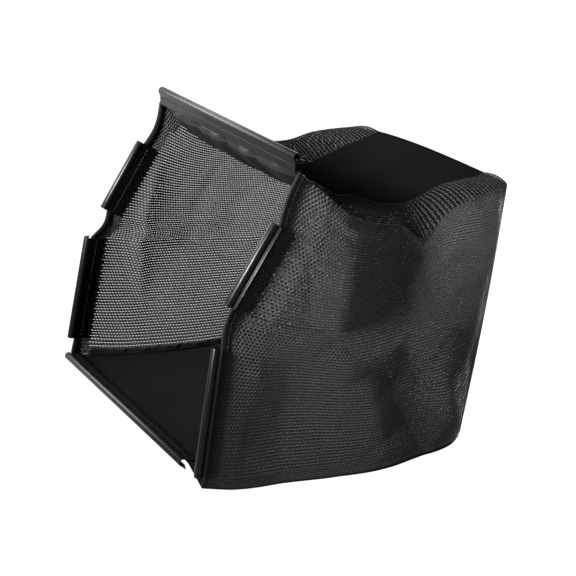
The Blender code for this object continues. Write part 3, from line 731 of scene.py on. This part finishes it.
def hook_strip(name, start, end, into, normal, width, cover, material):
    """A hook strip: a flat flange, a springy hook spun round its channel, and a lip, given the wall's
    thickness. It is made lying along X, with +Y into the cloth and +Z outwards, and then laid on its edge."""
    length = np.linalg.norm(end - start)
    radius = (CHANNEL + CLIP_WALL) / 2
    level = -(HALF_CLOTH + cover + CLIP_GAP + CLIP_WALL / 2)
    leave = radians(270 + FLANGE_PINCH_SLOPE)
    pinch_run = -HOOK_REACH + radius + CLIP_WALL / 2 + radius * cos(leave)
    centre = (0, -HOOK_REACH + radius + CLIP_WALL / 2,
              level - radius * sin(leave) - (FLANGE_START - pinch_run) * sin(leave - 1.5 * pi))
    flange_end = width - HOOK_REACH
    middle = (0, (FLANGE_START + flange_end) / 2, level)
    bpy.ops.mesh.primitive_plane_add(size=1, location=middle)
    strip = bpy.context.object
    strip.name = strip.data.name = name
    bpy.ops.object.transform_apply(location=True)
    bpy.ops.object.mode_set(mode="EDIT")
    bpy.ops.transform.resize(value=(length, flange_end - FLANGE_START, 1), center_override=middle)
    hook_start = (pinch_run - FLANGE_START, centre[2] + radius * sin(leave) - level)
    select_edges(strip, lambda co: co.y < FLANGE_START + WELD)
    bpy.ops.mesh.extrude_region_move(TRANSFORM_OT_translate={"value": (0, *hook_start)})
    bpy.ops.mesh.spin(steps=HOOK_STEPS, angle=leave - radians(LIP_ROOT_ANGLE), center=centre, axis=(1, 0, 0))
    lean = radians(LIP_LEAN)
    for share in (LIP_BEND_SHARE, 1 - LIP_BEND_SHARE):
        step = (0, LIP_LENGTH * share * sin(lean), LIP_LENGTH * share * cos(lean))
        bpy.ops.mesh.extrude_region_move(TRANSFORM_OT_translate={"value": step})
    weld(WELD)
    bpy.ops.object.mode_set(mode="OBJECT")
    wall = strip.modifiers.new("wall", "SOLIDIFY")
    wall.thickness = CLIP_WALL
    wall.offset = 0
    edge = strip.modifiers.new("edge", "BEVEL")
    edge.width = CLIP_EDGE_ROUND
    edge.segments = 2
    edge.limit_method = "ANGLE"
    edge.angle_limit = radians(CLIP_EDGE_ANGLE)
    for modifier in (wall, edge):
        bpy.ops.object.modifier_apply(modifier=modifier.name)
    local = vertex_places(strip.data)
    write_uv(strip.data, np.stack((local[:, 0], local[:, 1] - local[:, 2]), axis=-1))
    side = np.cross(into, normal)
    place = np.identity(4)
    place[:3, 0], place[:3, 1], place[:3, 2], place[:3, 3] = side, into, normal, (start + end) / 2
    strip.data.transform(Matrix(place))
    strip.data.materials.append(material)
    strip.select_set(False)
    return settle(strip)


def thread_stitch():
    """One stitch of sewing thread along X: a thread spun over in a low arch whose ends dip into the cloth."""
    bpy.ops.mesh.primitive_circle_add(vertices=THREAD_SIDES, radius=THREAD_RADIUS, fill_type="NGON")
    stitch = bpy.context.object
    stitch.name = stitch.data.name = "stitch"
    bpy.ops.object.mode_set(mode="EDIT")
    bpy.ops.transform.translate(value=(STITCH_LENGTH / 2, 0, 0))
    bpy.ops.mesh.spin(steps=STITCH_STEPS, angle=pi, center=(0, 0, 0), axis=(0, 1, 0))
    weld(WELD / 10)
    bpy.ops.transform.resize(value=(1, 1, STITCH_RISE / (STITCH_LENGTH / 2)), center_override=(0, 0, 0))
    bpy.ops.object.mode_set(mode="OBJECT")
    return stitch


def sewing(name, stitch, path, face, material):
    """A row of stitches along a path of points, where face is the cloth's facing at each point. Every stitch
    is a copy of the one that was modelled."""
    steps = np.linalg.norm(np.diff(path, axis=0), axis=1)
    reach = np.concatenate(([0.0], np.cumsum(steps)))
    count = max(2, int(reach[-1] / STITCH_PITCH))
    middles = (np.arange(count) + 0.5) * reach[-1] / count

    def at(values, where):
        return np.stack([np.interp(where, reach, values[:, i]) for i in range(3)], axis=-1)

    middle = at(path, middles)
    forward = at(path, np.minimum(middles + 1e-4, reach[-1])) - at(path, np.maximum(middles - 1e-4, 0))
    up = at(np.broadcast_to(face, path.shape), middles)
    forward /= np.linalg.norm(forward, axis=1)[:, None]
    across = np.cross(up, forward)
    across /= np.linalg.norm(across, axis=1)[:, None]
    up = np.cross(forward, across)
    shape = vertex_places(stitch.data)
    placed = (middle[:, None] + shape[None, :, :1] * forward[:, None] + shape[None, :, 1:2] * across[:, None]
              + shape[None, :, 2:] * up[:, None])
    rings = [list(polygon.vertices) for polygon in stitch.data.polygons]
    faces = [[i + copy * len(shape) for i in ring] for copy in range(count) for ring in rings]
    return new_piece(name, new_mesh(name, placed, faces), [material])


def edge_frames(side, reach):
    """Points on the mouth's edge at these distances from its foot, their hem directions and outward normals."""
    v = np.interp(reach, EDGE_LENGTHS, range(BAND + 1))
    edge, hem = mouth_edge(side, v)
    above, below = (mouth_edge(side, np.clip(v + bend, 0, BAND))[0] for bend in (TAPE_BEND, -TAPE_BEND))
    normal = np.cross(above - below, hem)
    normal *= (side * np.sign(normal[:, 0]) / np.linalg.norm(normal, axis=1))[:, None]
    return edge, hem, normal


def folded(front, level):
    """Section of one face of a folded tape: a leg, the round fold and the other leg."""
    turns = np.linspace(pi / 2, 3 * pi / 2, 9)
    return [(TAPE_LEG, level), *((front * cos(turn), level * sin(turn)) for turn in turns), (TAPE_LEG, -level)]


def edge_binding(word, side, material):
    """Tape folded round the mouth's edge of one side, from foot to top corner, with a rounded fold."""
    near = HALF_CLOTH + CLIP_GAP
    outer = folded(CLIP_GAP + TAPE, near + TAPE)
    outline = np.array(outer + folded(CLIP_GAP, near)[::-1])
    count = len(outer)
    reach = np.linspace(TAPE_END_GAP, EDGE_LENGTHS[-1] - TAPE_END_GAP, BINDING_RINGS)
    edge, hem, normal = edge_frames(side, reach)
    ripple = 1 + BINDING_RIPPLE * np.sin(reach * 310) * np.sin(reach * 117 + side)
    rings = (edge[:, None] + hem[:, None] * outline[None, :, :1]
             + normal[:, None] * outline[None, :, 1:] * ripple[:, None, None])
    size = len(outline)
    here = np.arange((len(rings) - 1) * size).reshape(-1, size)
    after = np.roll(here, -1, axis=1)
    faces = np.stack((here, after, after + size, here + size), axis=-1).reshape(-1, 4).tolist()
    for first in (0, (len(rings) - 1) * size):
        for i in range(count - 1):
            faces.append([first + i, first + i + 1, first + size - 2 - i, first + size - 1 - i])
    mesh = new_mesh(f"{word}_binding", rings, faces)
    bm = bmesh.new()
    bm.from_mesh(mesh)
    bmesh.ops.recalc_face_normals(bm, faces=bm.faces[:])
    bm.to_mesh(mesh)
    bm.free()
    round_way = np.concatenate(([0.0], np.cumsum(np.linalg.norm(np.diff(outline, axis=0), axis=1))))
    uv = np.stack(np.broadcast_arrays(reach[:, None], round_way[None, :]), axis=-1).reshape(-1, 2)
    write_uv(mesh, uv)
    binding = new_piece(f"{word}_binding", mesh, [material])
    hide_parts(f"{word}_edge_binding")


def seam_tape(name, line, lean, material, seed):
    """The sewn edges of two panels, turned into the bag: a strip that stands off its seam line and waves."""
    lean = np.array(lean) / np.linalg.norm(lean)
    path = line(np.linspace(0, 1, 200))
    length = float(np.linalg.norm(np.diff(path, axis=0), axis=1).sum())
    aside = np.cross(path[-1] - path[0], lean)
    aside = aside / np.linalg.norm(aside)

    def place(a, u):
        t, off = (a + 1) / 2, (u + 1) / 2
        wave = sum(height * np.sin(t * length * rate + k * seed) for height, rate, k in SEAM_WAVES)
        rough = 1 + SEAM_FRAY * np.sin(t * length * 820 + seed) * np.sin(t * length * 311)
        root = line(np.clip(t, 0, 1)) - lean * HALF_CLOTH
        return root + lean * (off * SEAM_WIDTH * rough)[..., None] + aside * (wave * off * off)[..., None]

    cells = (ceil(length / SEAM_CELL), 5)
    tape = closed_cloth(name, place, (length, SEAM_WIDTH), cells, SEAM_CLOTH, [material])


def seams(material):
    """Every seam of the bag: uprights and feet of the sides, bands to top, and the back's foot and top."""
    for word, side in SIDES.items():
        seam_tape(f"{word}_back_seam", lambda t: side_point(side, 0.05 + (BAND - 0.1) * t, 1.0),
                  (-0.75 * side, -0.66, 0), material, seed=side)
        seam_tape(f"{word}_foot_seam", lambda t: side_point(side, 0.0, 0.02 + 0.96 * t),
                  (-0.35 * side, 0, 0.94), material, seed=2 + side)
        seam_tape(f"{word}_top_seam", lambda t: side_point(side, BAND + 1.0, 0.01 + 0.97 * t),
                  (-0.2 * side, 0, -0.98), material, seed=4 + side)
    seam_tape("back_foot_seam", lambda t: back_point(1.94 * t - 0.97, 0.0), (0, -0.5, 0.86), material, seed=7)
    seam_tape("back_top_seam", lambda t: back_point(1.94 * t - 0.97, 1.0), (0, -0.72, -0.69), material, seed=9)


def clips(material, stitch, thread):
    """The six hook strips with their sewing: a row on the flange, and its other side on the cloth's face."""
    def sewn_strip(name, start, end, into, outward, width, cover, over):
        axis, into, normal = frame_of(start, end, into, outward)
        strip = hook_strip(f"{name}_strip", start, end, into, normal, width, cover, material)
        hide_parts(name)
        row = width * STITCH_SHARE - HOOK_REACH
        margin = axis * CLIP_STITCH_MARGIN
        path = np.linspace(start + margin, end - margin, 60) + into * row
        level = HALF_CLOTH + cover + CLIP_GAP + CLIP_WALL
        seam = sewing(f"{name}_stitches", stitch, path - normal * level, -normal, thread)
        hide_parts(name.replace("_clip", "_clip_sewing"))
        sewing(f"{name}_outer_stitches", stitch, path + normal * (HALF_CLOTH + over), normal, thread)

    for word, side in SIDES.items():
        corners, hems = MOUTH[side]
        outward = np.array((side, 0, 0))
        for k, level in CLIP_STRETCHES.items():
            sewn_strip(f"{level}_{word}_clip", corners[k], corners[k + 1], hems[k], outward, SIDE_CLIP_WIDTH,
                       TAPE + CLIP_GAP, CLIP_STITCH_LIFT)
    half = TOP_CLIP_LENGTH / 2
    edge = np.array((0, TOP_CORNER[1], TOP_CORNER[2] + TOP_EDGE_RISE))
    sewn_strip("top_clip", edge - (half, 0, 0), edge + (half, 0, 0), np.array((0, 0, -1.0)),
               np.array((0, 1.0, 0)), END_CLIP_WIDTH, 0, 0)
    half = BOTTOM_CLIP_LENGTH / 2
    slope = radians(FLOOR_STRIP_SLOPE)
    sewn_strip("bottom_clip", floor_edge(BOTTOM_CLIP_SHIFT - half), floor_edge(BOTTOM_CLIP_SHIFT + half),
               np.array((0, cos(slope), -sin(slope))), np.array((0, 0, -1.0)), END_CLIP_WIDTH, 0, 0)


def binding_sewing(stitch, thread):
    """A row of stitches along the outer leg of each binding."""
    reach = np.linspace(BINDING_STITCH_MARGIN, EDGE_LENGTHS[-1] - BINDING_STITCH_MARGIN, 160)
    level = HALF_CLOTH + CLIP_GAP + TAPE
    for word, side in SIDES.items():
        edge, hem, normal = edge_frames(side, reach)
        path = edge + hem * TAPE_LEG * BINDING_STITCH_SHARE + normal * level
        sewing(f"{word}_binding_stitches", stitch, path, normal, thread)


def feed(socket, value):
    """Gives a node's input a value, or the output of another node."""
    if isinstance(value, bpy.types.NodeSocket):
        socket.id_data.links.new(value, socket)
    else:
        socket.default_value = value


def add(tree, kind, settings=(), **inputs):
    """Adds a node to a node tree. Inputs are values, or sockets of other nodes, by the input's name."""
    node = tree.nodes.new(kind)
    for key, value in dict(settings).items():
        setattr(node, key, value)
    for key, value in inputs.items():
        feed(node.inputs[key.replace("_", " ")], value)
    return node


def sum_up(operation, first, second=0.0):
    """A Math node's result, in the node tree of its first socket."""
    node = add(first.id_data, "ShaderNodeMath", {"operation": operation})
    for socket, value in zip(node.inputs, (first, second)):
        feed(socket, value)
    return node.outputs[0]


def weigh(parts):
    """Sum of the parts, each a socket and its share."""
    total, *others = [sum_up("MULTIPLY", socket, share) for socket, share in parts]
    for other in others:
        total = sum_up("ADD", total, other)
    return total


def surface(material, name, value):
    """Feeds the input of this name on a material's own shader."""
    feed(material.node_tree.nodes["Principled BSDF"].inputs[name], value)


def new_material(name, specular):
    material = bpy.data.materials.new(name)
    material.use_nodes = True
    surface(material, "Specular IOR Level", specular)
    return material


def tint(material, colour, *parts):
    """Base colour, darker where the weighed parts are below 0 and lighter where they are above."""
    share = sum_up("MAXIMUM", sum_up("ADD", weigh(parts), 1.0), 0.1)
    scaled = add(material.node_tree, "ShaderNodeVectorMath", {"operation": "SCALE"}, Vector=colour, Scale=share)
    surface(material, "Base Color", scaled.outputs[0])


def roughen(material, middle, *parts):
    """Roughness about its middle, by the weighed parts."""
    surface(material, "Roughness", sum_up("ADD", weigh(parts), middle))


def emboss(material, depth, *parts):
    """Bumps of this depth, by the weighed parts."""
    bump = add(material.node_tree, "ShaderNodeBump", Height=weigh(parts), Distance=depth, Strength=1.0)
    surface(material, "Normal", bump.outputs[0])


def noise(where, scale, detail=2.0, stretch=(1, 1, 1)):
    """Noise from -1 to 1 or so, with its middle at 0."""
    mapping = add(where.id_data, "ShaderNodeMapping", Vector=where, Scale=stretch)
    grain = add(where.id_data, "ShaderNodeTexNoise", Vector=mapping.outputs[0], Scale=scale, Detail=detail)
    return sum_up("MULTIPLY", sum_up("SUBTRACT", grain.outputs[0], 0.5), NOISE_GAIN)


def ripple_of(socket, pitch):
    """A sine along a coordinate in metres, with this pitch."""
    return sum_up("SINE", sum_up("MULTIPLY", socket, 2 * pi / pitch))


def cloth_axes(material):
    """The place on the cloth in metres, as its UV map gives it, and its two coordinates."""
    cloth = add(material.node_tree, "ShaderNodeUVMap", {"uv_map": "cloth"}).outputs[0]
    first, second, _ = add(material.node_tree, "ShaderNodeSeparateXYZ", Vector=cloth).outputs
    return cloth, first, second


def net_material(name, specular):
    """Black coated thread: slight patches of wear, and fine filaments along it. Where the net turns over the
    top edge, its colour carries painted shade: dark and light rib stripes, and the band darkened as a whole."""
    material = new_material(name, specular)
    cloth, across, up = cloth_axes(material)
    crest = EDGE_LENGTHS[-1]
    over_edge = add(material.node_tree, "ShaderNodeMapRange", {"interpolation_type": "SMOOTHSTEP"}, Value=up,
                    From_Min=crest - BAND_FADE_BELOW, From_Max=crest + BAND_FADE_ABOVE).outputs[0]
    # Painted shade: rib stripes of light and shade and a darker band, painted into the base colour over the
    # band.
    ribs = sum_up("MULTIPLY", ripple_of(across, BAND_RIB_PITCH), BAND_RIB_PAINTED_SHADE)
    painted_band_shade = sum_up("MULTIPLY", over_edge, sum_up("SUBTRACT", ribs, BAND_PAINTED_SHADE))
    patches = noise(cloth, 22.0, detail=4.0)
    grain = noise(cloth, 1100.0)
    filaments = noise(cloth, 900.0, stretch=(1, 5, 1))
    tint(material, NET_COLOUR, (patches, 0.15), (grain, 0.18), (painted_band_shade, 1.0))
    roughen(material, NET_ROUGHNESS, (patches, 0.07))
    emboss(material, 0.00009, (filaments, 1.0))
    return material


def weave_material(name, colour, pitch, roughness, specular, depth):
    """Closed plain weave: threads pass over and under each other, with painted shade where they dip."""
    material = new_material(name, specular)
    cloth, across, up = cloth_axes(material)
    knots = sum_up("MULTIPLY", ripple_of(across, pitch), ripple_of(up, pitch))
    patches = noise(cloth, 14.0, detail=4.0)
    fibres = noise(cloth, 1500.0)
    # Painted shade: the colour is darker where the weave dips and lighter where it rises, following the bump.
    tint(material, colour, (knots, 0.30), (patches, 0.16))
    roughen(material, roughness, (fibres, 0.05))
    emboss(material, depth, (knots, 1.0), (fibres, 0.15))
    return material


def coated_material(name, colour, roughness, specular, depth):
    """Smooth coated cloth: the weave shows faintly through, with scuffs and slight patches."""
    material = new_material(name, specular)
    cloth, across, up = cloth_axes(material)
    threads = sum_up("ADD", *(ripple_of(axis, COAT_PITCH) for axis in (across, up)))
    patches = noise(cloth, 16.0, detail=5.0)
    scuffs = noise(cloth, 60.0, detail=3.0, stretch=(1, 0.2, 1))
    grain = noise(cloth, 1300.0)
    tint(material, colour, (patches, 0.12), (scuffs, 0.07))
    roughen(material, roughness, (patches, 0.04), (scuffs, 0.04))
    emboss(material, depth, (threads, 0.3), (grain, 1.0))
    return material


def tape_material():
    """Narrow woven tape: ribs across its length, with painted shade between them."""
    material = new_material("woven_tape", specular=0.06)
    cloth, lengthwise, _ = cloth_axes(material)
    ribs = ripple_of(lengthwise, TAPE_RIB_PITCH)
    fibres = noise(cloth, 1600.0)
    patches = noise(cloth, 60.0)
    # Painted shade: the colour is lighter on the ribs and darker between them, following the bump; the patches
    # are tone that differs at random.
    tint(material, TAPE_COLOUR, (ribs, 0.15), (patches, 0.15))
    roughen(material, 0.75, (fibres, 0.05))
    emboss(material, 0.00012, (ribs, 1.0), (fibres, 0.3))
    return material


def thread_material():
    """Sewing thread: fine fibres and faint patches."""
    material = new_material("sewing_thread", specular=0.2)
    where = add(material.node_tree, "ShaderNodeTexCoord").outputs["Object"]
    fibres = noise(where, 2600.0)
    patches = noise(where, 120.0)
    tint(material, THREAD_COLOUR, (fibres, 0.25), (patches, 0.15))
    roughen(material, 0.6, (fibres, 0.08))
    emboss(material, 0.00005, (fibres, 1.0))
    return material


def plastic_material():
    """Extruded dark grey plastic: draw lines along the strip, a fine grain, and scuffs from clipping on."""
    material = new_material("extruded_plastic", specular=0.08)
    strip = add(material.node_tree, "ShaderNodeUVMap", {"uv_map": "cloth"}).outputs[0]
    where = add(material.node_tree, "ShaderNodeTexCoord").outputs["Object"]
    draw_lines = noise(strip, 900.0, detail=3.0, stretch=(0.01, 1, 1))
    grain = noise(where, 1400.0)
    scuffs = noise(strip, 70.0, detail=5.0, stretch=(0.35, 1, 1))
    patches = noise(where, 18.0)
    tint(material, CLIP_COLOUR, (draw_lines, 0.08), (patches, 0.06))
    roughen(material, CLIP_ROUGHNESS, (scuffs, 0.05))
    emboss(material, 0.00003, (draw_lines, 0.7), (grain, 1.0))
    return material


def studio():
    """Plain pale floor, soft lights and a pale surrounding."""
    bpy.ops.mesh.primitive_plane_add(size=STUDIO_SIZE, location=(0, 0, 0))
    floor = bpy.context.object
    floor.name = "studio_floor"
    material = new_material("studio_floor", specular=0.0)
    surface(material, "Base Color", (FLOOR_GREY, FLOOR_GREY, FLOOR_GREY, 1))
    surface(material, "Roughness", 0.9)
    surface(material, "Emission Color", (1, 1, 1, 1))
    surface(material, "Emission Strength", FLOOR_GLOW)
    floor.data.materials.append(material)
    floor.select_set(False)
    world = bpy.context.scene.world = bpy.data.worlds.new("surround")
    world.use_nodes = True
    backdrop = world.node_tree.nodes["Background"]
    seen = add(world.node_tree, "ShaderNodeLightPath").outputs["Is Camera Ray"]
    strength = add(world.node_tree, "ShaderNodeMix", Factor=seen, A=SURROUND, B=1.0)
    feed(backdrop.inputs["Color"], (1, 1, 1, 1))
    feed(backdrop.inputs["Strength"], strength.outputs["Result"])
    for name, place, aim, size, spread, power in LIGHTS:
        lamp = bpy.data.lights.new(name, "AREA")
        lamp.shape = "RECTANGLE"
        lamp.size, lamp.size_y = size
        lamp.spread = radians(spread)
        lamp.energy = power
        softbox = bpy.data.objects.new(name, lamp)
        softbox.visible_camera = False
        softbox.location = place
        softbox.rotation_euler = (Vector(aim) - Vector(place)).to_track_quat("-Z", "Y").to_euler()
        link(softbox)
    bpy.context.scene.view_settings.view_transform = "Standard"


def photo_camera():
    """Camera at the photograph's place and angle."""
    camera = bpy.data.objects.new("camera", bpy.data.cameras.new("camera"))
    camera.data.sensor_width = 36.0
    camera.data.lens = CAMERA_LENS
    camera.location = CAMERA_PLACE
    camera.rotation_euler = Vector(CAMERA_AIM).to_track_quat("-Z", "Y").to_euler()
    link(camera)
    bpy.context.scene.camera = camera


def main():
    photo_camera()
    studio()
    net, net_over_edge = net_material("net_thread", NET_SPECULAR), net_material("net_over_edge", specular=0.0)
    tape, thread, plastic = tape_material(), thread_material(), plastic_material()
    for word, side in SIDES.items():
        edge_binding(word, side, tape)
        side_net(word, side, [net, net_over_edge])
    back_net(net)
    top_cloth(weave_material("top_weave", TOP_COLOUR, pitch=0.0028, roughness=0.8, specular=0.0, depth=0.0002),
              coated_material("top_reverse", REVERSE_COLOUR, roughness=0.52, specular=0.07, depth=0.00003))
    floor_cloth(coated_material("floor_coat", FLOOR_COLOUR, roughness=0.55, specular=0.03, depth=0.00004))
    seams(tape)
    stitch = thread_stitch()
    clips(plastic, stitch, thread)
    binding_sewing(stitch, thread)
    bpy.data.objects.remove(stitch, do_unlink=True)
    bpy.context.view_layer.update()


main()
